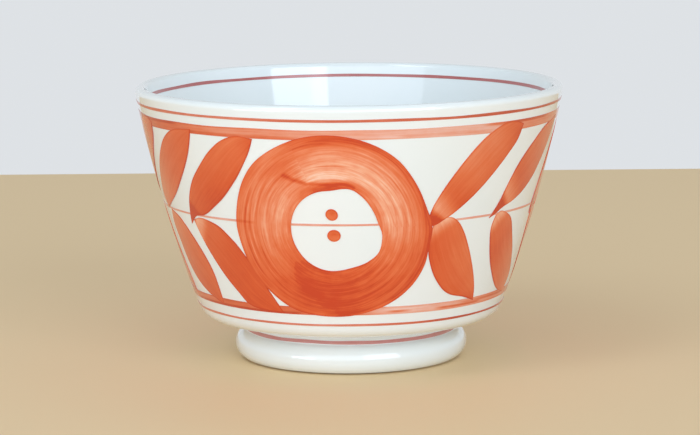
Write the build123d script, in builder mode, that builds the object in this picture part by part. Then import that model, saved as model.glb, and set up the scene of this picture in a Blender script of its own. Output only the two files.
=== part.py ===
from build123d import *
import os
from math import cos, radians, sin, tan

# Porcelain rice bowl: a thrown body on a foot ring, a glaze coat over both, and a pattern of
# red enamel fired on top of the glaze. Millimetres, +Z up. The origin is on the bowl's axis
# at the plane it stands on, and the first flower faces -Y.
os.makedirs("parts", exist_ok=True)

# ---- Finished sizes, over the glaze -------------------------------------------------------
rim_diameter = 121.0
height = 78.0
lip_thickness = 3.0

# ---- Coats --------------------------------------------------------------------------------
glaze_thickness = 0.3
wash_thickness = 0.1  # the thin enamel of the lines and bands
stroke_thickness = 0.2  # the thicker enamel of the flowers and leaves

# ---- Clay of the body ---------------------------------------------------------------------
base_radius = 42.1  # sharp corner where the wall would meet the underside
base_height = 13.0
base_corner = 4.0  # rounding of that corner
wall_bow = 1.2  # how far the wall swells outside a straight line
lip_lean = 12.0  # degrees that the wall leans out where it reaches the lip
underside_slope = 11.0  # degrees
inside_radius = 39.2  # sharp corner where the inner wall would meet the floor
inside_corner = 14.0
inside_bow = 1.2
floor_thickness = 3.9

# ---- Clay of the foot ring ----------------------------------------------------------------
neck_radius = 30.1
foot_wall = 4.3  # thickness of the ring at the neck
foot_swell = 2.8  # how far the swelling round the foot stands out from the neck
foot_roundness = 4.1  # radius of that swelling
neck_fillet = 0.6
bore_chamfer = 0.7
bare_height = 0.5  # the glaze is wiped off below this

# ---- Painted lines and bands --------------------------------------------------------------
lip_line_drop = 4.0  # centre of the line below the top of the lip
lip_line_width = 0.75
inner_line_drop = 3.7
inner_line_width = 0.85
upper_band_drop = 7.85
upper_band_width = 2.7
stem_line_width = 0.55
lower_band_rise = 7.4  # centre of the band above the clay base corner
lower_band_width = 2.2
base_line_rise = 3.35
base_line_width = 0.6
foot_line_rise = 0.7  # above the top of the swelling round the foot
foot_line_width = 1.0

# ---- Painted flowers ----------------------------------------------------------------------
flower_count = 3
flower_azimuth = -5.2  # degrees from -Y towards +X
flower_radius = 26.1
flower_overlap = 0.8  # how far a flower runs past the middle of each band
flower_sink = 0.6  # its centre lies this far below the stem line
hole_length = 25.2
hole_width = 22.6
hole_tilt = -22.0  # degrees
hole_shift = 1.2  # right of the flower's centre
hole_sink = 0.9
dot_diameter = 3.3
dot_spread = 5.9  # between the two dots in a flower

# ---- Painted leaves -----------------------------------------------------------------------
# Each leaf is one brush stroke. Its points are (degrees right of the flower's middle,
# height as a share of the painted field between the lower and the upper band).
near_upper_leaf = {
    "base": (28.7, 0.515),
    "left": [(30.6, 0.63), (35.2, 0.78), (41.2, 0.91), (48.2, 1.0)],
    "tip": (58.2, 1.01),
    "right": [(55.4, 0.87), (49.2, 0.725), (41.5, 0.60), (34.0, 0.525)],
}
near_lower_leaf = {
    "base": (36.6, 0.50),
    "left": [(31.4, 0.47), (29.9, 0.36), (31.6, 0.23), (36.4, 0.11), (43.2, 0.045)],
    "tip": (53.0, 0.005),
    "right": [(51.2, 0.12), (46.8, 0.26), (42.4, 0.41)],
}
middle_upper_leaf = {
    "base": (51.8, 0.49),
    "left": [(56.6, 0.67), (61.6, 0.80), (67.6, 0.91), (74.0, 0.99)],
    "tip": (82.0, 1.01),
    "right": [(80.2, 0.89), (75.2, 0.76), (68.0, 0.63), (59.0, 0.545)],
}
middle_lower_leaf = {
    "base": (55.4, 0.475),
    "left": [(53.2, 0.40), (54.8, 0.28), (58.6, 0.16), (64.6, 0.06)],
    "tip": (75.0, 0.01),
    "right": [(74.4, 0.10), (70.4, 0.24), (65.6, 0.37), (60.4, 0.48)],
}
far_upper_leaf = {
    "base": (68.8, 0.47),
    "left": [(71.4, 0.62), (76.6, 0.75), (82.8, 0.88), (90.2, 0.97)],
    "tip": (99.2, 0.965),
    "right": [(96.8, 0.85), (91.2, 0.71), (83.6, 0.585), (75.8, 0.505)],
}
far_lower_leaf = {
    "base": (74.4, 0.475),
    "left": [(71.4, 0.39), (74.4, 0.26), (80.2, 0.12), (86.6, 0.04)],
    "tip": (96.0, 0.012),
    "right": [(94.4, 0.19), (90.0, 0.34), (84.2, 0.43), (79.2, 0.475)],
}
leaf_pairs = {
    "near": (near_upper_leaf, near_lower_leaf),
    "middle": (middle_upper_leaf, middle_lower_leaf),
    "far": (far_upper_leaf, far_lower_leaf),
}

# ---- Worked out from the sizes above ------------------------------------------------------
lip_radius = lip_thickness / 2 - glaze_thickness
lip_x = rim_diameter / 2 - lip_thickness / 2
lip_z = height - lip_thickness / 2
lip_reach = lip_radius * cos(radians(lip_lean))
lip_dip = lip_radius * sin(radians(lip_lean))
lip_outside = (lip_x + lip_reach, lip_z - lip_dip)
lip_inside = (lip_x - lip_reach, lip_z + lip_dip)
joint_height = base_height - (base_radius - neck_radius) * tan(radians(underside_slope))
floor_height = joint_height + floor_thickness
wall_run = lip_outside[0] - base_radius
wall_rise = lip_outside[1] - base_height
foot_bore = neck_radius - foot_wall
foot_round_x = neck_radius + foot_swell - foot_roundness
upper_band_height = height - upper_band_drop
lower_band_height = base_height + lower_band_rise
field_height = upper_band_height - lower_band_height
stem_height = (upper_band_height + lower_band_height) / 2
flower_height = stem_height - flower_sink


def wall_radius(z):
    """Radius of the glazed wall at a height."""
    share = (z - base_height) / wall_rise
    return base_radius + share * wall_run + 4 * wall_bow * share * (1 - share) + glaze_thickness


def facing(azimuth):
    """Upright plane through the axis that looks out at an azimuth from -Y towards +X."""
    angle = radians(azimuth)
    return Plane(
        origin=(0, 0, 0),
        x_dir=(cos(angle), sin(angle), 0),
        z_dir=(sin(angle), -cos(angle), 0),
    )


def vertex_near(sketch, x, y):
    return sketch.vertices().sort_by_distance((x, y, 0))[0]


def save(part, name):
    part.label = name
    export_step(part, f"parts/{name}.step")


# ---- Clay body ----------------------------------------------------------------------------
with BuildSketch(Plane.XZ) as body_section:
    with BuildLine():
        wall_middle = (base_radius + wall_run / 2 + wall_bow, base_height + wall_rise / 2)
        ThreePointArc((base_radius, base_height), wall_middle, lip_outside)
        ThreePointArc(lip_outside, (lip_x, lip_z + lip_radius), lip_inside)
        inside_middle = (
            (inside_radius + lip_inside[0]) / 2 + inside_bow,
            (floor_height + lip_inside[1]) / 2,
        )
        ThreePointArc(lip_inside, inside_middle, (inside_radius, floor_height))
        Polyline(
            (inside_radius, floor_height),
            (0, floor_height),
            (0, joint_height),
            (neck_radius, joint_height),
            (base_radius, base_height),
        )
    make_face()
    fillet(vertex_near(body_section, base_radius, base_height), base_corner)
    fillet(vertex_near(body_section, inside_radius, floor_height), inside_corner)

with BuildPart() as clay_body:
    add(body_section.sketch)
    revolve(axis=Axis.Z)
save(clay_body.part, "clay_body")

# ---- Foot ring, joined to the body with slip ----------------------------------------------
with BuildSketch(Plane.XZ) as foot_section:
    with Locations((foot_round_x, foot_roundness)):
        Circle(foot_roundness)
    with Locations((foot_bore, 0)):
        Rectangle(foot_round_x - foot_bore, foot_roundness, align=(Align.MIN, Align.MIN))
    with Locations((foot_bore, foot_roundness)):
        Rectangle(
            neck_radius - foot_bore,
            joint_height - foot_roundness,
            align=(Align.MIN, Align.MIN),
        )
    Rectangle(foot_bore, joint_height, align=(Align.MIN, Align.MIN), mode=Mode.SUBTRACT)
    neck_rise = (foot_roundness**2 - (neck_radius - foot_round_x) ** 2) ** 0.5
    fillet(vertex_near(foot_section, neck_radius, foot_roundness + neck_rise), neck_fillet)
    chamfer(vertex_near(foot_section, foot_bore, 0), bore_chamfer)

with BuildPart() as foot_ring:
    add(foot_section.sketch)
    revolve(axis=Axis.Z)
save(foot_ring.part, "foot_ring")

# ---- Sections of the coats ----------------------------------------------------------------
with BuildSketch() as clay_section:
    add(body_section.sketch_local)
    add(foot_section.sketch_local)


def coated(thickness):
    """The clay's section grown by a coat, on the outer side of the axis only."""
    with BuildSketch() as grown:
        add(clay_section.sketch_local)
        offset(amount=thickness)
        Rectangle(rim_diameter, 3 * height, align=(Align.MIN, Align.CENTER), mode=Mode.INTERSECT)
    # An offset arc runs backwards and spoils later cuts, so the outline is drawn afresh.
    with BuildSketch() as redrawn:
        with BuildLine():
            for edge in grown.edges():
                if edge.geom_type == GeomType.CIRCLE:
                    ThreePointArc(edge @ 0, edge @ 0.5, edge @ 1)
                else:
                    Line(edge @ 0, edge @ 1)
        make_face()
    return redrawn.sketch_local


glazed = coated(glaze_thickness)
washed = coated(glaze_thickness + wash_thickness)
stroked = coated(glaze_thickness + stroke_thickness)



def revolved_coat(outer, inner, keep, cut=None, innermost=False):
    """Revolve what lies between two sections inside one zone and outside another."""
    with BuildSketch(Plane.XZ) as section:
        add(outer)
        add(inner, mode=Mode.SUBTRACT)
        add(keep, mode=Mode.INTERSECT)
        if cut:
            add(cut, mode=Mode.SUBTRACT)
    faces = section.sketch.faces().sort_by(Axis.X)
    with BuildPart() as coat:
        add(faces[0] if innermost else faces[-1])
        revolve(axis=Axis.Z)
    return coat.part


def zone(left, right, bottom, top):
    """An upright rectangle of the section, from its four sides."""
    with BuildSketch() as area:
        with Locations((left, bottom)):
            Rectangle(right - left, top - bottom, align=(Align.MIN, Align.MIN))
    return area.sketch_local


# ---- Glaze: one coat over the bowl, one under the foot ------------------------------------
glazed_zone = zone(0, rim_diameter, bare_height, 2 * height)
under_foot_zone = zone(0, foot_round_x, bare_height, (joint_height + floor_height) / 2)
clay = clay_section.sketch_local
save(revolved_coat(glazed, clay, glazed_zone, cut=under_foot_zone), "glaze_coat")
save(revolved_coat(glazed, clay, under_foot_zone), "recess_glaze")


# ---- Painted lines and bands --------------------------------------------------------------
def painted_line(centre_height, width, innermost=False):
    """A line brushed on while the bowl turns, as a thin ring on the glaze."""
    strip = zone(0, rim_diameter, centre_height - width / 2, centre_height + width / 2)
    return revolved_coat(washed, glazed, strip, innermost=innermost)


inner_line = painted_line(height - inner_line_drop, inner_line_width, innermost=True)
rim_line = painted_line(height - lip_line_drop, lip_line_width)
upper_band = painted_line(upper_band_height, upper_band_width)
stem_line = painted_line(stem_height, stem_line_width)
lower_band = painted_line(lower_band_height, lower_band_width)
base_line = painted_line(base_height + base_line_rise, base_line_width)
foot_line = painted_line(2 * foot_roundness + foot_line_rise, foot_line_width)
save(inner_line, "inner_line")
save(rim_line, "rim_line")
save(upper_band, "upper_band")
save(stem_line, "stem_line")
save(lower_band, "lower_band")
save(base_line, "base_line")
save(foot_line, "foot_line")

# ---- Film of thicker enamel that the strokes are cut from ---------------------------------
stroke_bottom = lower_band_height - lower_band_width / 2
stroke_top = upper_band_height + upper_band_width / 2
stroke_zone = zone(0, rim_diameter, stroke_bottom, stroke_top)
stroke_film = revolved_coat(stroked, glazed, stroke_zone)
line_work = [upper_band, lower_band, stem_line]


def stroke(front, under=()):
    """A painted stroke: the film behind a front, over the lines and under other strokes."""
    with BuildPart() as film:
        add(front)
        add(stroke_film, mode=Mode.INTERSECT)
        add(line_work, mode=Mode.SUBTRACT)
        add(list(under), mode=Mode.SUBTRACT)
    return film.part


# ---- Fronts: each one is an outline drawn on an upright plane and carried outwards --------
def flower_front(azimuth):
    with BuildPart() as front:
        with BuildSketch(facing(azimuth)):
            with Locations((0, flower_height)):
                Ellipse(flower_radius, field_height / 2 + flower_overlap)
            with Locations((hole_shift, flower_height - hole_sink)):
                Ellipse(hole_length / 2, hole_width / 2, rotation=hole_tilt, mode=Mode.SUBTRACT)
        extrude(amount=rim_diameter)
    return front.part


def dot_front(azimuth, centre_height):
    with BuildPart() as front:
        with BuildSketch(facing(azimuth)):
            with Locations((0, centre_height)):
                Circle(dot_diameter / 2)
        extrude(amount=rim_diameter)
    return front.part


def leaf_front(azimuth, leaf):
    """The plane faces the middle of the leaf, so that the outline keeps its width."""
    middle = (leaf["base"][0] + leaf["tip"][0]) / 2

    def place(point):
        degrees, share = point
        z = lower_band_height + share * field_height
        return (wall_radius(z) * sin(radians(degrees - middle)), z)

    base = place(leaf["base"])
    tip = place(leaf["tip"])
    with BuildPart() as front:
        with BuildSketch(facing(azimuth + middle)):
            with BuildLine():
                Spline(base, *[place(point) for point in leaf["left"]], tip)
                Spline(tip, *[place(point) for point in leaf["right"]], base)
            make_face()
        extrude(amount=rim_diameter)
    return front.part


# ---- The pattern, once for each flower ----------------------------------------------------
pattern_step = 360 / flower_count
azimuths = [flower_azimuth + index * pattern_step for index in range(flower_count)]
flower_fronts = [flower_front(azimuth) for azimuth in azimuths]

for index, azimuth in enumerate(azimuths):
    number = index + 1
    save(stroke(flower_fronts[index]), f"flower_ring_{number}")
    for side, direction in (("upper", 1), ("lower", -1)):
        dot = dot_front(azimuth, stem_height + direction * dot_spread / 2)
        save(stroke(dot), f"flower_dot_{side}_{number}")

    flowers = [flower_fronts[index], flower_fronts[number % flower_count]]
    for place, (upper, lower) in leaf_pairs.items():
        upper_front = leaf_front(azimuth, upper)
        lower_front = leaf_front(azimuth, lower)
        upper_leaf = stroke(upper_front, flowers)
        lower_leaf = stroke(lower_front, flowers + [upper_front])
        save(upper_leaf, f"{place}_leaf_upper_{number}")
        save(lower_leaf, f"{place}_leaf_lower_{number}")
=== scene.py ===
import math
import random
import bpy
from mathutils import Matrix, Vector


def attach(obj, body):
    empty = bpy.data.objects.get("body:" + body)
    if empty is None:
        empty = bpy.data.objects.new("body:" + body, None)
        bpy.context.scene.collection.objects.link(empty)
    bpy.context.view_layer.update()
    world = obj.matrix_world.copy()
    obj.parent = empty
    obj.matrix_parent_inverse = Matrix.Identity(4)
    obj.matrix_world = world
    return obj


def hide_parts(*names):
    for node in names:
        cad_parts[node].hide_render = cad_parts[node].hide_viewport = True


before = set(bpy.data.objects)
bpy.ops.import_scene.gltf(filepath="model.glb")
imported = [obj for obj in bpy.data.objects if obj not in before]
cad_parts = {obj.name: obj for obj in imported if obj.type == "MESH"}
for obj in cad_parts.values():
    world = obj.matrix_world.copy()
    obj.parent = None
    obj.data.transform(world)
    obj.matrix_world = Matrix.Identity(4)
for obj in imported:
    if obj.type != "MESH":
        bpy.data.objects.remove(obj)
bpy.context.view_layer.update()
mm = 0.001
random.seed(7)
print("frame loaded,", len(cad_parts), "CAD nodes")


def startClean():
    # the frame and each new primitive stay selected, so everything is let go first
    if bpy.context.object and bpy.context.object.mode != "OBJECT":
        bpy.ops.object.mode_set(mode="OBJECT")
    bpy.ops.object.select_all(action="DESELECT")


def mixed(a, b, share):
    return a + (b - a) * share


def softStep(low, high, value):
    # from 0 at low to 1 at high, whichever of them is the greater
    t = min(1, max(0, (value - low) / (high - low)))
    return t * t * (3 - 2 * t)


def easedEnds(share):
    # the same way from 0 to 1, with closer steps at both ends
    return 0.5 - 0.5 * math.cos(math.pi * share)


def circleThrough(a, b, c):
    # centre and radius of the circle through three points
    (ax, ay), (bx, by), (cx, cy) = a, b, c
    d = 2 * (ax * (by - cy) + bx * (cy - ay) + cx * (ay - by))
    sa, sb, sc = ax * ax + ay * ay, bx * bx + by * by, cx * cx + cy * cy
    x = (sa * (by - cy) + sb * (cy - ay) + sc * (ay - by)) / d
    y = (sa * (cx - bx) + sb * (ax - cx) + sc * (bx - ax)) / d
    return x, y, math.hypot(ax - x, ay - y)


def arcPoints(a, b, c, steps):
    # points after a, along the arc that passes through b and ends at c
    x, y, radius = circleThrough(a, b, c)
    start, middle, end = (math.atan2(p[1] - y, p[0] - x) for p in (a, b, c))
    sweep = (end - start) % (2 * math.pi)
    if (middle - start) % (2 * math.pi) > sweep:
        sweep -= 2 * math.pi
    turns = [start + sweep * i / steps for i in range(1, steps + 1)]
    return [(x + radius * math.cos(t), y + radius * math.sin(t)) for t in turns]


def smoothThrough(points, steps):
    # a smooth curve through the points, evenly spaced along its length
    ends = [points[0]] + list(points) + [points[-1]]
    dense = [points[0]]
    for i in range(1, len(ends) - 2):
        p0, p1, p2, p3 = ends[i - 1 : i + 3]
        for k in range(1, 17):
            t = k / 16
            dense.append(tuple(
                0.5 * (2 * p1[j] + (p2[j] - p0[j]) * t
                       + (2 * p0[j] - 5 * p1[j] + 4 * p2[j] - p3[j]) * t * t
                       + (3 * p1[j] - p0[j] - 3 * p2[j] + p3[j]) * t ** 3)
                for j in (0, 1)
            ))
    runs = [0]
    for p, q in zip(dense, dense[1:]):
        runs.append(runs[-1] + math.hypot(q[0] - p[0], q[1] - p[1]))
    curve, at = [], 0
    for k in range(steps + 1):
        want = runs[-1] * k / steps
        while at < len(runs) - 2 and runs[at + 1] < want:
            at += 1
        share = (want - runs[at]) / max(1e-9, runs[at + 1] - runs[at])
        curve.append(tuple(mixed(dense[at][j], dense[at + 1][j], share) for j in (0, 1)))
    return curve


def valueAt(table, place):
    # smooth reading of a short list of (place, value)
    for (p0, v0), (p1, v1) in zip(table, table[1:]):
        if place <= p1:
            return mixed(v0, v1, softStep(p0, p1, place))
    return table[-1][1]


def readCurve(curve, share):
    place = share * (len(curve) - 1)
    i = min(int(place), len(curve) - 2)
    return tuple(mixed(curve[i][j], curve[i + 1][j], place - i) for j in (0, 1))


# the bowl's glazed form, as arcs of its section: distance from the axis and height in millimetres
bowlForm = {
    "insideCorner": ((29.42, 14.87), (37.33, 17.38), (42.33, 24.0)),
    "insideWall": ((42.33, 24.0), (50.73, 50.18), (57.53, 76.81)),
    "lip": ((57.53, 76.81), (59.31, 77.97), (60.47, 76.19)),
    "outsideWall": ((60.47, 76.19), (52.85, 45.32), (43.16, 15.05)),
    "baseCorner": ((43.16, 15.05), (41.91, 13.23), (39.93, 12.27)),
    "neckTop": (30.4, 10.42),
    "neckCorner": ((30.4, 8.4), (30.45, 8.24), (30.58, 8.12)),
    "footSwelling": ((30.58, 8.12), (33.1, 4.9), (31.33, 0.5)),
    "footBore": 25.5,
    "boreEdge": 0.7,
    "bareEdge": 0.5,  # height of the unglazed standing edge
    "recessCorner": ((25.5, 9.6), (25.27, 10.14), (24.73, 10.37)),
    "coat": 0.28,  # thickness of the glaze
    "turns": 224,  # faces all round
}
wallX, wallZ, wallCurve = circleThrough(*bowlForm["outsideWall"])
innerX, innerZ, innerCurve = circleThrough(*bowlForm["insideWall"])


def wallRadius(height):
    return wallX + math.sqrt(wallCurve ** 2 - (height - wallZ) ** 2)


def innerRadius(height):
    return innerX + math.sqrt(innerCurve ** 2 - (height - innerZ) ** 2)


def neckRadius(height):
    return bowlForm["neckTop"][0]


def turnedCoat(name, profile, coat):
    # the section is drawn by extruding one vertex, then spun round the axis
    startClean()
    bpy.ops.mesh.primitive_plane_add(size=mm, location=(0, 0, 0))
    piece = bpy.context.object
    piece.name = name
    bpy.ops.object.mode_set(mode="EDIT")
    bpy.ops.mesh.select_all(action="SELECT")
    bpy.ops.mesh.merge(type="CENTER")
    x, z = profile[0]
    bpy.ops.transform.translate(value=(x * mm, 0, z * mm))
    for nextX, nextZ in profile[1:]:
        step = ((nextX - x) * mm, 0, (nextZ - z) * mm)
        bpy.ops.mesh.extrude_region_move(TRANSFORM_OT_translate={"value": step})
        x, z = nextX, nextZ
    bpy.ops.mesh.select_all(action="SELECT")
    bpy.ops.mesh.spin(
        steps=bowlForm["turns"], angle=2 * math.pi, center=(0, 0, 0), axis=(0, 0, 1)
    )
    bpy.ops.mesh.select_all(action="SELECT")
    bpy.ops.mesh.remove_doubles(threshold=1e-6)
    bpy.ops.mesh.normals_make_consistent(inside=False)
    bpy.ops.object.mode_set(mode="OBJECT")
    top = max(piece.data.polygons, key=lambda face: face.center.z * face.normal.z)
    if top.normal.z < 0:
        piece.data.flip_normals()
    wall = piece.modifiers.new("coat", "SOLIDIFY")
    wall.thickness = coat * mm
    wall.offset = -1
    bpy.ops.object.modifier_apply(modifier=wall.name)
    bpy.ops.object.shade_smooth_by_angle(angle=math.radians(40))
    return piece


floorEdge, floorHeight = bowlForm["insideCorner"][0]
section = [(floorEdge * k / 8, floorHeight) for k in range(9)]
section += arcPoints(*bowlForm["insideCorner"], 14)
section += arcPoints(*bowlForm["insideWall"], 26)
section += arcPoints(*bowlForm["lip"], 22)
section += arcPoints(*bowlForm["outsideWall"], 30)
section += arcPoints(*bowlForm["baseCorner"], 10)
baseEdge, neckTop = bowlForm["baseCorner"][2], bowlForm["neckTop"]
section += [
    (mixed(baseEdge[0], neckTop[0], k / 5), mixed(baseEdge[1], neckTop[1], k / 5))
    for k in range(1, 6)
]
section += [(neckTop[0], 9.4), bowlForm["neckCorner"][0]]
section += arcPoints(*bowlForm["neckCorner"], 4)
section += arcPoints(*bowlForm["footSwelling"], 22)
glazeCoat = turnedCoat("glaze_coat_turned", section, bowlForm["coat"])

bore = bowlForm["footBore"]
section = [(bore + 0.1, bowlForm["bareEdge"]), (bore, bowlForm["boreEdge"] + 0.1)]
section += [(bore, 3), (bore, 6), bowlForm["recessCorner"][0]]
section += arcPoints(*bowlForm["recessCorner"], 6)
ceilingEdge, ceilingHeight = bowlForm["recessCorner"][2]
section += [(ceilingEdge * k / 6, ceilingHeight) for k in range(5, -1, -1)]
recessGlaze = turnedCoat("recess_glaze_turned", section, bowlForm["coat"])
finished = {"glaze_coat": glazeCoat, "recess_glaze": recessGlaze}  # by the CAD node each replaces
print("glaze turned")


def enamelSheet(name, columns, rows, place, loadAt, lift):
    # a sheet laid on the glaze, with its own map along and across the brush
    # place(u, v) gives degrees, height, way along and across the brush in centimetres, distance
    # to the stroke's nearest edge in millimetres, and which wall it lies on
    startClean()
    bpy.ops.mesh.primitive_grid_add(
        x_subdivisions=columns, y_subdivisions=rows, size=1, calc_uvs=True, location=(0, 0, 0)
    )
    piece = bpy.context.object
    piece.name = name
    mesh = piece.data
    layer = mesh.uv_layers[0]
    layer.name = "brush"
    shares = [(v.co.x + 0.5, v.co.y + 0.5) for v in mesh.vertices]
    placed = [place(u, v) for u, v in shares]
    for loop in mesh.loops:
        layer.data[loop.index].uv = placed[loop.vertex_index][2:4]
    load = mesh.attributes.new("load", "FLOAT", "POINT")
    pooled = mesh.attributes.new("edge", "FLOAT", "POINT")
    for i, (degrees, height, along, across, edge, radiusAt) in enumerate(placed):
        load.data[i].value = loadAt(*shares[i])
        pooled.data[i].value = edge
        a = math.radians(degrees)
        r = (radiusAt(height) + (lift if radiusAt is not innerRadius else -lift)) * mm
        mesh.vertices[i].co = (r * math.sin(a), -r * math.cos(a), height * mm)
    bpy.ops.object.mode_set(mode="EDIT")
    bpy.ops.mesh.select_all(action="SELECT")
    bpy.ops.mesh.remove_doubles(threshold=2e-6)
    bpy.ops.object.mode_set(mode="OBJECT")
    return piece


def copyRound(piece, name, turn, shift):
    # the same stroke painted again further round, its bristle marks shifted
    startClean()
    piece.select_set(True)
    bpy.context.view_layer.objects.active = piece
    bpy.ops.object.duplicate(linked=False)
    copy = bpy.context.object
    copy.name = name
    copy.rotation_euler.z = math.radians(turn)
    bpy.ops.object.transform_apply(location=True, rotation=True, scale=True)
    for corner in copy.data.uv_layers["brush"].data:
        corner.uv.x += shift
    return copy


def firedOn(piece, thickness, inside=False):
    # turn the sheet the right way out, then give it its thickness down into the glaze
    startClean()
    piece.select_set(True)
    bpy.context.view_layer.objects.active = piece
    face = max(piece.data.polygons, key=lambda face: face.area)
    outward = face.normal.x * face.center.x + face.normal.y * face.center.y > 0
    if outward == inside:
        piece.data.flip_normals()
    film = piece.modifiers.new("film", "SOLIDIFY")
    film.thickness = thickness * mm
    film.offset = -1
    bpy.ops.object.modifier_apply(modifier=film.name)
    bpy.ops.object.shade_smooth_by_angle(angle=math.radians(50))
    return piece


def newMaterial(name):
    material = bpy.data.materials.new(name)
    material.use_nodes = True
    material.node_tree.nodes.clear()
    return material, material.node_tree


def addNode(tree, kind, x, y, **settings):
    node = tree.nodes.new(kind)
    node.location = (x, y)
    for key, value in settings.items():
        setattr(node, key, value)
    return node


def setColours(ramp, stops):
    while len(ramp.elements) < len(stops):
        ramp.elements.new(0.5)
    for element, (place, colour) in zip(ramp.elements, stops):
        element.position = place
        element.color = (*[linear(c) for c in colour], 1)


def linear(value):
    # a colour as a person picks it, 0 to 255, in the renderer's own scale
    c = value / 255
    return c / 12.92 if c <= 0.04045 else ((c + 0.055) / 1.055) ** 2.4


enamelColours = {  # from the thinnest wash to the thickest pool
    "orange": [
        (0.0, (246, 202, 178)), (0.2, (240, 168, 134)), (0.4, (232, 134, 94)),
        (0.6, (225, 109, 62)), (0.8, (216, 86, 38)), (1.0, (200, 60, 22)),
    ],
    "wash": [
        (0.0, (240, 208, 198)), (0.2, (232, 174, 156)), (0.4, (228, 148, 120)),
        (0.6, (222, 120, 84)), (0.8, (213, 97, 58)), (1.0, (190, 66, 36)),
    ],
    "rose": [
        (0.0, (238, 204, 194)), (0.3, (226, 152, 130)), (0.6, (208, 106, 78)),
        (0.8, (192, 80, 56)), (1.0, (165, 58, 44)),
    ],
    "brown": [
        (0.0, (226, 205, 205)), (0.4, (200, 140, 138)), (0.7, (182, 100, 98)),
        (1.0, (150, 72, 74)),
    ],
}


def brushGroup():
    # how much enamel the bristles left at each place, for every enamel
    group = bpy.data.node_groups.new("brushStreaks", "ShaderNodeTree")
    for name, default in (("Load", 0.6), ("Streaks", 0.3), ("Edge", 1.0), ("Pooling", 0.3)):
        socket = group.interface.new_socket(name, in_out="INPUT", socket_type="NodeSocketFloat")
        socket.default_value = default
    group.interface.new_socket("Along brush", in_out="INPUT", socket_type="NodeSocketVector")
    group.interface.new_socket("Thickness", in_out="OUTPUT", socket_type="NodeSocketFloat")
    enter = addNode(group, "NodeGroupInput", -1200, 0)
    leave = addNode(group, "NodeGroupOutput", 700, 0)
    link = group.links.new
    total = enter.outputs["Load"]
    # broad bristle marks, fine bristle marks and wet blotches, each its own size and share
    for y, stretch, share in (
        (400, (0.5, 9.0, 1), 1.0),
        (100, (1.1, 26.0, 1), 0.7),
        (-200, (2.6, 4.2, 1), 0.45),
    ):
        mapping = addNode(group, "ShaderNodeMapping", -1000, y)
        mapping.inputs["Scale"].default_value = stretch
        link(enter.outputs["Along brush"], mapping.inputs["Vector"])
        noise = addNode(group, "ShaderNodeTexNoise", -800, y)
        noise.inputs["Scale"].default_value = 1.0
        noise.inputs["Detail"].default_value = 3.0
        noise.inputs["Roughness"].default_value = 0.55
        link(mapping.outputs["Vector"], noise.inputs["Vector"])
        centred = addNode(group, "ShaderNodeMath", -600, y, operation="SUBTRACT")
        link(noise.outputs["Fac"], centred.inputs[0])
        centred.inputs[1].default_value = 0.5
        part = addNode(group, "ShaderNodeMath", -440, y, operation="MULTIPLY")
        link(centred.outputs[0], part.inputs[0])
        part.inputs[1].default_value = share * 2
        scaled = addNode(group, "ShaderNodeMath", -280, y, operation="MULTIPLY")
        link(part.outputs[0], scaled.inputs[0])
        link(enter.outputs["Streaks"], scaled.inputs[1])
        added = addNode(group, "ShaderNodeMath", -120, y, operation="ADD")
        link(total, added.inputs[0])
        link(scaled.outputs[0], added.inputs[1])
        total = added.outputs[0]
    # wet enamel gathers in a thin line at the edge of the stroke
    rim = addNode(group, "ShaderNodeMapRange", -120, -450, interpolation_type="SMOOTHSTEP")
    rim.inputs["From Min"].default_value = 0.05
    rim.inputs["From Max"].default_value = 0.55
    rim.inputs["To Min"].default_value = 1.0
    rim.inputs["To Max"].default_value = 0.0
    link(enter.outputs["Edge"], rim.inputs["Value"])
    gathered = addNode(group, "ShaderNodeMath", 60, -350, operation="MULTIPLY")
    link(rim.outputs["Result"], gathered.inputs[0])
    link(enter.outputs["Pooling"], gathered.inputs[1])
    final = addNode(group, "ShaderNodeMath", 220, -100, operation="ADD")
    link(total, final.inputs[0])
    link(gathered.outputs[0], final.inputs[1])
    link(final.outputs[0], leave.inputs["Thickness"])
    return group


brushStreaks = brushGroup()


def enamelMaterial(name, colours, streaks, pooling):
    material, tree = newMaterial(name)
    link = tree.links.new
    out = addNode(tree, "ShaderNodeOutputMaterial", 600, 0)
    shader = addNode(tree, "ShaderNodeBsdfPrincipled", 300, 0)
    brush = addNode(tree, "ShaderNodeGroup", -100, 0)
    brush.node_tree = brushStreaks
    brush.inputs["Streaks"].default_value = streaks
    brush.inputs["Pooling"].default_value = pooling
    along = addNode(tree, "ShaderNodeUVMap", -400, -200, uv_map="brush")
    load = addNode(tree, "ShaderNodeAttribute", -400, 200, attribute_name="load")
    edge = addNode(tree, "ShaderNodeAttribute", -400, 0, attribute_name="edge")
    link(load.outputs["Fac"], brush.inputs["Load"])
    link(edge.outputs["Fac"], brush.inputs["Edge"])
    link(along.outputs["UV"], brush.inputs["Along brush"])
    bump = addNode(tree, "ShaderNodeBump", 100, -300)
    bump.inputs["Strength"].default_value = 0.12
    bump.inputs["Distance"].default_value = 0.0001
    ramp = addNode(tree, "ShaderNodeValToRGB", 80, 100)
    setColours(ramp.color_ramp, enamelColours[colours])
    link(brush.outputs["Thickness"], ramp.inputs["Fac"])
    link(brush.outputs["Thickness"], bump.inputs["Height"])
    link(ramp.outputs["Color"], shader.inputs["Base Color"])
    link(bump.outputs["Normal"], shader.inputs["Normal"])
    shader.inputs["Roughness"].default_value = 0.2
    shader.inputs["Coat Weight"].default_value = 0.5
    shader.inputs["Coat Roughness"].default_value = 0.06
    link(shader.outputs["BSDF"], out.inputs["Surface"])
    return material


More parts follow.
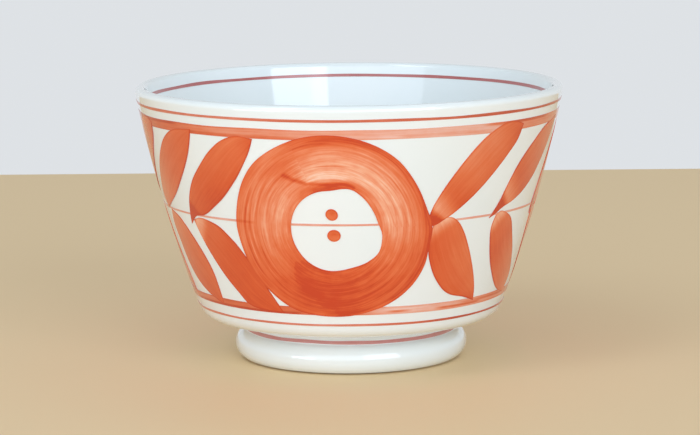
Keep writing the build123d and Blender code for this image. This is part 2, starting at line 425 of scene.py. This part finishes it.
def porcelainMaterial(name, thin, pooledColour, roughness, coat):
    # white ware under clear glaze: faint turning rings, and bluer where the glaze gathers
    material, tree = newMaterial(name)
    link = tree.links.new
    out = addNode(tree, "ShaderNodeOutputMaterial", 900, 0)
    shader = addNode(tree, "ShaderNodeBsdfPrincipled", 600, 0)
    where = addNode(tree, "ShaderNodeTexCoord", -900, 0)
    cloud = addNode(tree, "ShaderNodeTexNoise", -500, 200)
    cloud.inputs["Scale"].default_value = 22.0
    cloud.inputs["Detail"].default_value = 2.0
    link(where.outputs["Object"], cloud.inputs["Vector"])
    ramp = addNode(tree, "ShaderNodeValToRGB", -200, 200)
    setColours(ramp.color_ramp, [(0.3, thin), (0.75, pooledColour)])
    link(cloud.outputs["Fac"], ramp.inputs["Fac"])
    link(ramp.outputs["Color"], shader.inputs["Base Color"])
    rings = addNode(tree, "ShaderNodeMapping", -700, -250)
    rings.inputs["Scale"].default_value = (9, 9, 160)
    link(where.outputs["Object"], rings.inputs["Vector"])
    ripple = addNode(tree, "ShaderNodeTexNoise", -500, -250)
    ripple.inputs["Scale"].default_value = 1.0
    ripple.inputs["Detail"].default_value = 1.0
    link(rings.outputs["Vector"], ripple.inputs["Vector"])
    bump = addNode(tree, "ShaderNodeBump", 200, -250)
    bump.inputs["Strength"].default_value = 0.35
    bump.inputs["Distance"].default_value = 0.0001
    link(ripple.outputs["Fac"], bump.inputs["Height"])
    link(bump.outputs["Normal"], shader.inputs["Normal"])
    shader.inputs["Roughness"].default_value = roughness
    shader.inputs["Coat Weight"].default_value = coat
    shader.inputs["Coat Roughness"].default_value = 0.03
    link(shader.outputs["BSDF"], out.inputs["Surface"])
    return material


glazed = porcelainMaterial("glazedPorcelain", (238, 243, 243), (231, 240, 242), 0.1, 1.0)
bareClay = porcelainMaterial("barePorcelain", (232, 229, 222), (222, 217, 208), 0.62, 0.0)
brushEnamel = enamelMaterial("redEnamel", "orange", 0.13, 0.24)
ringEnamel = enamelMaterial("redEnamelRing", "orange", 0.34, 0.16)
bandEnamel = enamelMaterial("thinRedEnamel", "wash", 0.2, 0.14)
lineEnamel = enamelMaterial("roseEnamel", "rose", 0.2, 0.0)
footEnamel = enamelMaterial("brownEnamel", "brown", 0.2, 0.0)
print("materials made")


def wear(piece, material):
    piece.data.materials.clear()
    piece.data.materials.append(material)


wear(glazeCoat, glazed)
wear(recessGlaze, glazed)
for node in ("clay_body", "foot_ring"):
    wear(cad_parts[node], bareClay)


linesAround = {
    # brushed on while the bowl turned: height and width in millimetres; how much enamel the
    # brush left, as (share of a turn from the back, load); and darker streaks within a band,
    # as (from, to, share of the band's height, added load)
    "rim_line": dict(
        height=74.0, width=0.72, enamel=lineEnamel,
        loads=((0, 0.7), (0.3, 0.62), (0.42, 0.5), (0.5, 0.66), (0.8, 0.85), (1, 0.7)),
    ),
    "upper_band": dict(
        height=70.15, width=2.7, enamel=bandEnamel,
        loads=(
            (0, 0.7), (0.32, 0.8), (0.42, 0.5), (0.5, 0.3), (0.56, 0.16),
            (0.61, 0.2), (0.65, 0.5), (0.8, 0.4), (1, 0.7),
        ),
        streaks=(
            (0.25, 0.36, 0.86, 0.3), (0.36, 0.47, 0.2, 0.2),
            (0.6, 0.69, 0.88, 0.4), (0.53, 0.62, 0.3, 0.14),
        ),
    ),
    "stem_line": dict(
        height=45.3, width=0.55, enamel=lineEnamel, loads=((0, 0.34), (0.5, 0.26), (1, 0.34))
    ),
    "lower_band": dict(
        height=20.4, width=2.2, enamel=bandEnamel,
        loads=(
            (0, 0.6), (0.3, 0.72), (0.44, 0.75), (0.5, 0.5),
            (0.55, 0.14), (0.62, 0.24), (0.68, 0.55), (1, 0.6),
        ),
        streaks=(
            (0.53, 0.563, 0.36, 0.5), (0.582, 0.65, 0.34, 0.5),
            (0.61, 0.7, 0.62, 0.24), (0.3, 0.46, 0.2, 0.2),
        ),
    ),
    "base_line": dict(
        height=16.35, width=0.6, enamel=lineEnamel,
        loads=((0, 0.6), (0.5, 0.5), (0.66, 0.85), (1, 0.6)),
    ),
    "foot_line": dict(
        height=8.9, width=1.0, enamel=footEnamel, radiusAt=neckRadius,
        loads=((0, 0.4), (0.5, 0.45), (1, 0.4)),
    ),
    "inner_line": dict(
        height=74.3, width=0.85, enamel=footEnamel, radiusAt=innerRadius,
        loads=((0, 0.7), (1, 0.7)),
    ),
}
lineThickness = 0.1
streakHalf, streakSoft = 0.08, 0.2  # shares of a band's height


def lineAround(name, height, width, enamel, loads, radiusAt=wallRadius, streaks=()):
    wander = [(random.uniform(-1, 1), random.uniform(0, 6.3)) for _ in range(6)]
    inside = radiusAt is innerRadius

    def edgeAt(u, side):
        a = 2 * math.pi * u
        shift = sum(w * math.sin((k + 2) * a * (1 + side) + p) for k, (w, p) in enumerate(wander))
        return height + (side - 0.5) * width + 0.05 * shift * min(1, width)

    def place(u, v):
        low, high = edgeAt(u, 0), edgeAt(u, 1)
        across = mixed(low, high, v)
        along = 2 * math.pi * radiusAt(height) * u
        gap = min(v, 1 - v) * (high - low)
        return 360 * u - 180, across, along * 0.1, (across - low) * 0.1, gap, radiusAt

    def loadAt(u, v):
        load = valueAt(loads, u)
        for start, end, out, added in streaks:
            fade = softStep(0, 0.015, u - start) * softStep(0, 0.015, end - u)
            load += added * fade * softStep(streakSoft, streakHalf, abs(v - out))
        return load

    piece = enamelSheet(name + "_painted", 360, 14, place, loadAt, lineThickness)
    firedOn(piece, lineThickness, inside)
    wear(piece, enamel)
    return piece


for name, values in linesAround.items():
    finished[name] = lineAround(name, **values)
print("lines painted")

repeat = 120  # degrees from one flower, and its leaves, to the next
flower = {  # a ring brushed round and round, with two dots in its eye
    "turn": -5.2,  # degrees, the first flower's middle
    "height": 44.5,
    "thickness": 0.2,
    "outer": [  # degrees and height of points round the outside
        (24.8, 44), (24.6, 38), (23.9, 33), (20, 27), (12, 22), (5, 20), (-8, 19), (-20, 21),
        (-28, 26), (-33, 32), (-35, 38), (-35.5, 44), (-34, 50), (-30, 58), (-26, 62.5),
        (-20, 66.5), (-13, 69.3), (-6, 70.2), (0, 69.5), (8, 66.5), (13, 63), (18, 57), (22, 50),
    ],
    "eye": [
        (9.3, 43), (9.5, 41), (8.6, 37.3), (5.3, 34.7), (0, 33), (-7, 32.3), (-12, 34), (-16, 38),
        (-17.5, 43), (-16.5, 48), (-13, 52.5), (-9, 54.5), (-5, 55), (0, 55.3), (3, 53.5),
        (6, 50), (8, 46),
    ],
    # how much enamel the brush left: degrees round the ring, then from the eye outwards
    "loads": [
        (0, 0.50, 0.27, 0.37, 0.48, 0.84),
        (30, 0.54, 0.2, 0.25, 0.44, 0.76),
        (60, 0.70, 0.18, 0.22, 0.42, 0.76),
        (90, 0.90, 0.14, 0.20, 0.40, 0.86),
        (112, 0.85, 0.10, 0.28, 0.52, 0.72),
        (124, 0.65, 0.45, 0.52, 0.64, 0.50),
        (150, 0.46, 0.34, 0.42, 0.50, 0.56),
        (180, 0.54, 0.32, 0.38, 0.52, 0.56),
        (210, 0.66, 0.60, 0.62, 0.68, 0.70),
        (235, 0.76, 0.80, 0.82, 0.84, 0.72),
        (250, 0.84, 0.95, 0.96, 0.88, 0.80),
        (270, 0.86, 0.92, 0.95, 0.96, 0.86),
        (300, 0.80, 0.84, 0.85, 0.86, 0.74),
        (330, 0.52, 0.60, 0.66, 0.72, 0.84),
        (360, 0.50, 0.27, 0.37, 0.48, 0.84),
    ],
    "brushStart": 115,  # degrees round the ring where the stroke starts and ends
    "brushRun": 11.8,  # centimetres once round
    # bristle marks: from and to round the ring, share of the way out, width, added enamel
    "marks": [
        (128, 222, 0.34, 0.022, 0.22), (134, 200, 0.43, 0.018, 0.26), (126, 232, 0.54, 0.02, 0.24),
        (138, 214, 0.63, 0.018, 0.3), (122, 240, 0.74, 0.022, 0.26), (146, 226, 0.84, 0.02, 0.3),
        (150, 196, 0.49, 0.014, -0.26), (142, 206, 0.69, 0.016, -0.24),
        (156, 214, 0.8, 0.014, -0.2),
        (-24, 58, 0.3, 0.018, 0.14), (-30, 40, 0.44, 0.02, 0.14), (-12, 74, 0.55, 0.02, 0.12),
        (-34, 52, 0.66, 0.022, 0.16), (-20, 36, 0.37, 0.012, -0.12), (62, 112, 0.46, 0.02, 0.16),
        (58, 104, 0.3, 0.016, 0.14), (-60, -8, 0.78, 0.02, 0.16), (84, 126, 0.84, 0.03, 0.3),
        (10, 100, 0.9, 0.02, 0.2), (-64, 14, 0.94, 0.022, 0.2), (280, 330, 0.32, 0.03, 0.12),
    ],
    # the stroke's end, a tongue with a dark wet edge: degrees round the ring, share outwards
    "tongueWidth": 0.045,
    "tongueLoad": 0.42,
    "tongue": [
        (131, 0.52), (127, 0.36), (118, 0.2), (104, 0.13), (88, 0.11), (72, 0.1), (62, 0.06),
    ],
    # where the second turn of the brush laps over the first, and how much darker it is there
    "lapLoad": 0.12,
    "lap": [(224, 0.0), (227, 0.36), (240, 0.5), (252, 0.62), (263, 0.8), (272, 1.0)],
    # sideways from the middle, height, half width, half height, lean in degrees
    "dots": {"upper": (0, 48.2, 1.7, 1.55, -35), "lower": (0.4, 42.3, 1.8, 1.65, 0)},
}


def roundTheEye(points):
    # the outline as distance from the flower's middle, read by the angle round it
    around = []
    for degrees, height in points:
        x = wallRadius(height) * math.sin(math.radians(degrees - flower["turn"]))
        y = height - flower["height"]
        around.append((math.degrees(math.atan2(y, x)) % 360, math.hypot(x, y)))
    around.sort()
    closed = [(a - 360, r) for a, r in around[-3:]] + around + [(a + 360, r) for a, r in around[:3]]
    smooth = smoothThrough(closed, 720)
    return lambda angle: readRound(smooth, angle % 360)


def readRound(curve, angle):
    low, high = 0, len(curve) - 1
    while high - low > 1:
        middle = (low + high) // 2
        if curve[middle][0] <= angle:
            low = middle
        else:
            high = middle
    (a0, r0), (a1, r1) = curve[low], curve[high]
    return mixed(r0, r1, (angle - a0) / max(1e-9, a1 - a0))


outerEdge = roundTheEye(flower["outer"])
eyeEdge = roundTheEye(flower["eye"])
acrossStops = (0.05, 0.24, 0.48, 0.72, 0.95)


def ringLoad(angle, v):
    rows = flower["loads"]
    columns = []
    for k in range(5):
        columns.append((acrossStops[k], valueAt([(row[0], row[k + 1]) for row in rows], angle)))
    load = columns[0][1] if v <= columns[0][0] else valueAt(columns, v)
    for start, end, out, width, added in flower["marks"]:
        into = (angle - start) % 360
        if into < end - start:
            fade = min(1, into / 12, (end - start - into) / 12)
            drift = out + 0.012 * math.sin(angle / 17 + 40 * out)
            load += added * fade * max(0, 1 - abs(v - drift) / width)
    if v > 0.62:  # the stem line shows through where the ring runs over it
        load += 0.3 * max(0, 1 - abs(angle - 178) / 0.9) * softStep(0.62, 0.74, v)
    tongue = distanceTo(flower["tongue"], angle, v)
    load += flower["tongueLoad"] * max(0, 1 - tongue / flower["tongueWidth"])
    seam = readRound([(out, around) for around, out in flower["lap"]], v)
    ragged = seam + 2.5 * math.sin(23 * v) + 1.2 * math.sin(61 * v)
    return load + flower["lapLoad"] * softStep(0, 2, angle - ragged) * softStep(26, 8, angle - ragged)


def distanceTo(line, angle, v):
    # shortest way from a place in the ring to a line of places, in shares of the ring's width
    best = 9
    for (a0, v0), (a1, v1) in zip(line, line[1:]):
        ax, ay, bx, by = (angle - a0) / 75, v - v0, (a1 - a0) / 75, v1 - v0
        share = min(1, max(0, (ax * bx + ay * by) / (bx * bx + by * by)))
        best = min(best, math.hypot(ax - share * bx, ay - share * by))
    return best


def flowerRing(name):
    def place(u, v):
        angle = flower["brushStart"] + 360 * u
        v = easedEnds(v)
        near, far = eyeEdge(angle), outerEdge(angle)
        r = mixed(near, far, v)
        a = math.radians(angle)
        height = flower["height"] + r * math.sin(a)
        sideways = r * math.cos(a)
        degrees = flower["turn"] + math.degrees(math.asin(sideways / wallRadius(height)))
        gap = min(v, 1 - v) * (far - near)
        return degrees, height, flower["brushRun"] * u, r * 0.1 - 1.1, gap, wallRadius

    def loadAt(u, v):
        angle = flower["brushStart"] + 360 * u
        return ringLoad(angle % 360, easedEnds(v))

    piece = enamelSheet(name, 420, 60, place, loadAt, flower["thickness"])
    firedOn(piece, flower["thickness"])
    wear(piece, ringEnamel)
    return piece


def flowerDot(name, across, height, radiusX, radiusZ, lean):
    def place(u, v):
        a = 2 * math.pi * u
        r = math.sin(0.5 * math.pi * v)
        x, y = r * radiusX * math.cos(a), r * radiusZ * math.sin(a)
        tilt = math.radians(lean)
        sideways = across + x * math.cos(tilt) - y * math.sin(tilt)
        up = height + x * math.sin(tilt) + y * math.cos(tilt)
        degrees = flower["turn"] + math.degrees(sideways / wallRadius(height))
        return degrees, up, sideways * 0.1, up * 0.1, (1 - r) * radiusZ, wallRadius

    def loadAt(u, v):
        return 0.74 - 0.2 * v + 0.08 * math.sin(6 * u)

    piece = enamelSheet(name, 32, 6, place, loadAt, flower["thickness"])
    firedOn(piece, flower["thickness"])
    wear(piece, brushEnamel)
    return piece


finished["flower_ring_1"] = flowerRing("flower_ring_1_brushed")
for side, values in flower["dots"].items():
    finished[f"flower_dot_{side}_1"] = flowerDot(f"flower_dot_{side}_1_brushed", *values)
for number in (2, 3):
    for kind in ("flower_ring", "flower_dot_upper", "flower_dot_lower"):
        finished[f"{kind}_{number}"] = copyRound(
            finished[f"{kind}_1"], f"{kind}_{number}_brushed", (number - 1) * repeat, number
        )
print("flowers painted")

leaves = {
    # one stroke each, from the stem line out to a band: degrees round the bowl and height in
    # millimetres along both edges, enamel left along the stroke, and more of it to one side
    "near_leaf_upper": dict(
        base=(24.3, 43.9),
        left=[
            (23.3, 45.8), (23.8, 48), (25, 50.8), (28.4, 56.2),
            (33.6, 62.8), (38.8, 67.8), (44.4, 70.8), (49.2, 71.2),
        ],
        tip=(53, 70.2),
        right=[
            (51.6, 66), (48.6, 62.4), (45.6, 59.2), (41.6, 55.2),
            (37, 51.2), (32, 47.6), (28.6, 45.7), (26.4, 44.5),
        ],
        loads=(
            (0, 1.4), (0.08, 1.1), (0.14, 0.36), (0.28, 0.74),
            (0.5, 0.56), (0.7, 0.56), (1, 0.85),
        ),
        lean=0.2,
    ),
    "near_leaf_lower": dict(
        base=(27, 45.7),
        left=[(25, 43.6), (24.5, 38), (25.5, 34), (28, 29.5), (32, 25.5), (36, 23.5), (42, 22.3)],
        tip=(48, 20.6),
        right=[(47, 24), (45, 28), (42, 33), (39.5, 37), (36.5, 41.5), (33.5, 44.8), (30.5, 46.2)],
        loads=((0, 0.3), (0.08, 0.22), (0.22, 0.74), (0.5, 0.66), (0.8, 0.68), (1, 0.85)),
        lean=-0.22,
    ),
    "middle_leaf_upper": dict(
        base=(45.9, 44.4),
        left=[(49, 48.6), (51.4, 53.3), (55.2, 59.3), (61.2, 64.6), (67.5, 68.2)],
        tip=(76.5, 70),
        right=[(74, 64), (70, 58.5), (66, 54), (61, 50.5), (56, 48.3), (51.5, 47.0), (48.6, 45.5)],
        loads=((0, 1.4), (0.14, 1.1), (0.22, 0.4), (0.4, 0.8), (0.6, 0.7), (1, 0.66)),
        lean=0.1,
    ),
    "middle_leaf_lower": dict(
        base=(49, 45),
        left=[(48, 41), (50, 35), (53, 30), (58, 25), (63, 22)],
        tip=(70, 20.3),
        right=[(72, 25), (67, 32), (62, 38), (58, 43), (54, 45.2), (51, 45.9)],
        loads=((0, 0.3), (0.08, 0.25), (0.2, 0.72), (0.35, 0.8), (0.6, 0.66), (1, 0.6)),
        lean=-0.1,
    ),
    "far_leaf_upper": dict(
        base=(63.6, 42.4),
        left=[
            (64.4, 46), (66.2, 50.4), (69.6, 55.2), (74.4, 59.9),
            (79.2, 64.3), (84.2, 67.7), (89, 69.2),
        ],
        tip=(94, 68.6),
        right=[(92.5, 65), (90, 61), (87, 57), (82, 52), (77, 48.5), (72, 45.8), (67.5, 45.0)],
        loads=(
            (0, 1.4), (0.12, 1.15), (0.2, 0.8), (0.4, 0.82),
            (0.65, 0.72), (0.8, 0.66), (1, 0.8),
        ),
        lean=0.18,
    ),
    "far_leaf_lower": dict(
        base=(65.5, 43.8),
        left=[(66.5, 41), (69, 36), (74, 29), (79, 24), (82, 21.3), (87, 20.0)],
        tip=(96.2, 19.5),
        right=[
            (94.3, 22.2), (91, 27), (87, 33), (83.5, 37.5),
            (81, 40), (77, 43), (72, 44.4), (68.5, 44.6),
        ],
        loads=((0, 0.7), (0.05, 0.2), (0.1, 0.3), (0.2, 0.74), (0.5, 0.83), (1, 0.84)),
        lean=-0.04,
    ),
}
leafVariants = {  # hand-painted strokes that came out unlike the others of their kind
    ("middle_leaf_upper", 3): dict(
        base=(47.5, 45.2),
        left=[(45.2, 48.2), (47.4, 52.9), (51.2, 58.3), (55.8, 63.1), (60.1, 66.6), (65.6, 69.2)],
        tip=(73.6, 70.0),
        right=[(71.8, 65.4), (69.2, 61.0), (64.5, 55.6), (58.3, 50.4), (51, 46.6)],
        loads=((0, 1.0), (0.06, 0.7), (0.2, 0.6), (0.5, 0.72), (1, 0.72)),
        lean=0.1,
    ),
    ("middle_leaf_lower", 3): dict(
        base=(50.1, 45),
        left=[(48.3, 40.8), (49.3, 35.9), (51, 30.3), (54.6, 25.7), (60.4, 22.4)],
        tip=(69, 19.7),
        right=[(68.4, 28.1), (65.8, 33.6), (61.4, 38.9), (56.2, 43.2)],
        loads=((0, 0.4), (0.1, 0.56), (0.5, 0.74), (1, 0.78)),
        lean=-0.1,
    ),
    ("far_leaf_upper", 1): dict(
        base=(74, 42.4),
        left=[
            (73.6, 46), (75, 50.4), (77.5, 55.2), (80.5, 59.9),
            (84, 64.3), (88, 67.7), (91.5, 69.2),
        ],
        tip=(95, 68.6),
        right=[(93.6, 65), (91.6, 61), (89, 57), (86, 52), (83, 48.5), (80, 45.8), (77.5, 45.0)],
        loads=((0, 1.4), (0.12, 1.1), (0.2, 0.7), (1, 0.7)),
        lean=0.1,
    ),
    ("far_leaf_lower", 1): dict(
        base=(76, 43.8),
        left=[(76.4, 41), (77.6, 36), (80.5, 29), (84, 24), (86.5, 21.3), (89.8, 20.0)],
        tip=(96.2, 19.5),
        right=[
            (94.8, 22.2), (92.2, 27), (89.6, 33), (87.6, 37.5),
            (85.6, 40.6), (82.6, 43.4), (79, 44.6),
        ],
        loads=((0, 0.7), (0.1, 0.4), (0.2, 0.7), (1, 0.75)),
        lean=-0.04,
    ),
}
leafLifts = {"upper": 0.17, "lower": 0.14}  # millimetres of enamel
mmPerDegree = 0.9  # along the wall, on average


def leafStroke(name, number, base, left, tip, right, loads, lean):
    turn = (number - 1) * repeat
    leftEdge = smoothThrough([base] + left + [tip], 80)
    rightEdge = smoothThrough([base] + right[::-1] + [tip], 80)
    lift = leafLifts[name.split("_")[-1]]
    spine = [tuple((p + q) / 2 for p, q in zip(a, b)) for a, b in zip(leftEdge, rightEdge)]
    length = sum(
        math.hypot((q[0] - p[0]) * mmPerDegree, q[1] - p[1]) for p, q in zip(spine, spine[1:])
    )

    def place(u, v):
        u, v = easedEnds(u), easedEnds(v)
        a, b = readCurve(leftEdge, u), readCurve(rightEdge, u)
        degrees, height = (mixed(p, q, v) for p, q in zip(a, b))
        width = math.hypot((b[0] - a[0]) * mmPerDegree, b[1] - a[1])
        gap = min(min(v, 1 - v) * width, u * length, (1 - u) * length)
        across = (v - 0.5) * (0.6 * width + 4)
        return degrees + turn, height, u * length * 0.1 + number, across * 0.1, gap, wallRadius

    def loadAt(u, v):
        return valueAt(loads, easedEnds(u)) + lean * (easedEnds(v) - 0.5)

    piece = enamelSheet(f"{name}_{number}_brushed", 64, 20, place, loadAt, lift)
    firedOn(piece, lift)
    wear(piece, brushEnamel)
    return piece


for name, values in leaves.items():
    alike = [number for number in (1, 2, 3) if (name, number) not in leafVariants]
    first = finished[f"{name}_{alike[0]}"] = leafStroke(name, alike[0], **values)
    for number in alike[1:]:
        finished[f"{name}_{number}"] = copyRound(
            first, f"{name}_{number}_brushed", (number - alike[0]) * repeat, number
        )
for (name, number), values in leafVariants.items():
    finished[f"{name}_{number}"] = leafStroke(name, number, **values)
print("leaves painted")

for node, piece in finished.items():
    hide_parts(node)
    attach(piece, "root")
print("pieces named")

stage = {
    "floorColour": (240, 212, 167),
    "floorFront": -1.6,  # metres
    "floorBack": 0.385,
    "floorWidth": 4.0,
    "worldColour": (244, 248, 252),
    "ceilingColour": (196, 198, 196),
    "worldStrength": 0.81,
}


def flatMaterial(name, colour, roughness):
    material, tree = newMaterial(name)
    out = addNode(tree, "ShaderNodeOutputMaterial", 300, 0)
    shader = addNode(tree, "ShaderNodeBsdfPrincipled", 0, 0)
    shader.inputs["Base Color"].default_value = (*[linear(c) for c in colour], 1)
    shader.inputs["Roughness"].default_value = roughness
    tree.links.new(shader.outputs["BSDF"], out.inputs["Surface"])
    return material


startClean()
bpy.ops.mesh.primitive_plane_add(
    size=1, location=(0, (stage["floorFront"] + stage["floorBack"]) / 2, 0)
)
bpy.ops.transform.resize(
    value=(stage["floorWidth"], stage["floorBack"] - stage["floorFront"], 1)
)
floor = bpy.context.object
floor.name = "floor"
wear(floor, flatMaterial("floorPaper", stage["floorColour"], 0.6))

world = bpy.data.worlds.new("studio")
bpy.context.scene.world = world
world.use_nodes = True
background = world.node_tree.nodes["Background"]
background.inputs["Strength"].default_value = stage["worldStrength"]
direction = addNode(world.node_tree, "ShaderNodeTexCoord", -800, 0)
upward = addNode(world.node_tree, "ShaderNodeSeparateXYZ", -600, 0)
room = addNode(world.node_tree, "ShaderNodeValToRGB", -400, 0)  # pale walls, dimmer ceiling
setColours(room.color_ramp, [(0.12, stage["worldColour"]), (0.75, stage["ceilingColour"])])
world.node_tree.links.new(direction.outputs["Generated"], upward.inputs["Vector"])
world.node_tree.links.new(upward.outputs["Z"], room.inputs["Fac"])
world.node_tree.links.new(room.outputs["Color"], background.inputs["Color"])

lamps = {
    # bearing from the front in degrees, then metres: distance, lower and upper edge, width; watts
    "windowRight": dict(bearing=31, away=1.8, low=0.1, high=1.3, width=1.15, power=13),
    "windowLeft": dict(bearing=-47, away=1.2, low=0.85, high=2.7, width=0.5, power=9),
    "lowLeft": dict(bearing=-47, away=0.5, low=0.0, high=0.1, width=0.21, power=0.27),
    "frontFill": dict(bearing=-12, away=1.7, low=0.0, high=1.1, width=2.4, power=9.2),
    "skyBack": dict(bearing=160, away=0.9, low=1.5, high=2.3, width=1.5, power=3),
}
lampColour = (0.79, 0.88, 1.0)
for name, values in lamps.items():
    startClean()
    bearing = math.radians(values["bearing"])
    place = Vector((
        values["away"] * math.sin(bearing),
        -values["away"] * math.cos(bearing),
        (values["low"] + values["high"]) / 2,
    ))
    bpy.ops.object.light_add(type="AREA", location=place)
    lamp = bpy.context.object
    lamp.name = name
    lamp.data.shape = "RECTANGLE"
    lamp.data.size = values["width"]
    lamp.data.size_y = values["high"] - values["low"]
    lamp.data.energy = values["power"]
    lamp.data.color = lampColour
    aim = Vector((-place.x, -place.y, 0))
    lamp.rotation_euler = aim.to_track_quat("-Z", "Y").to_euler()

view = {"lens": 144, "distance": 0.799, "elevation": 8.7, "roll": -0.5, "lookHeight": 0.0393}
startClean()
bpy.ops.object.camera_add()
camera = bpy.context.object
camera.data.lens = view["lens"]
camera.data.sensor_width = 36
tilt = math.radians(view["elevation"])
place = Vector((
    0,
    -view["distance"] * math.cos(tilt),
    view["lookHeight"] + view["distance"] * math.sin(tilt),
))
camera.matrix_world = (
    Matrix.Translation(place)
    @ Matrix.Rotation(math.pi / 2 - tilt, 4, "X")
    @ Matrix.Rotation(math.radians(view["roll"]), 4, "Z")
)
bpy.context.scene.camera = camera
bpy.context.scene.view_settings.view_transform = "Standard"
print("stage set")
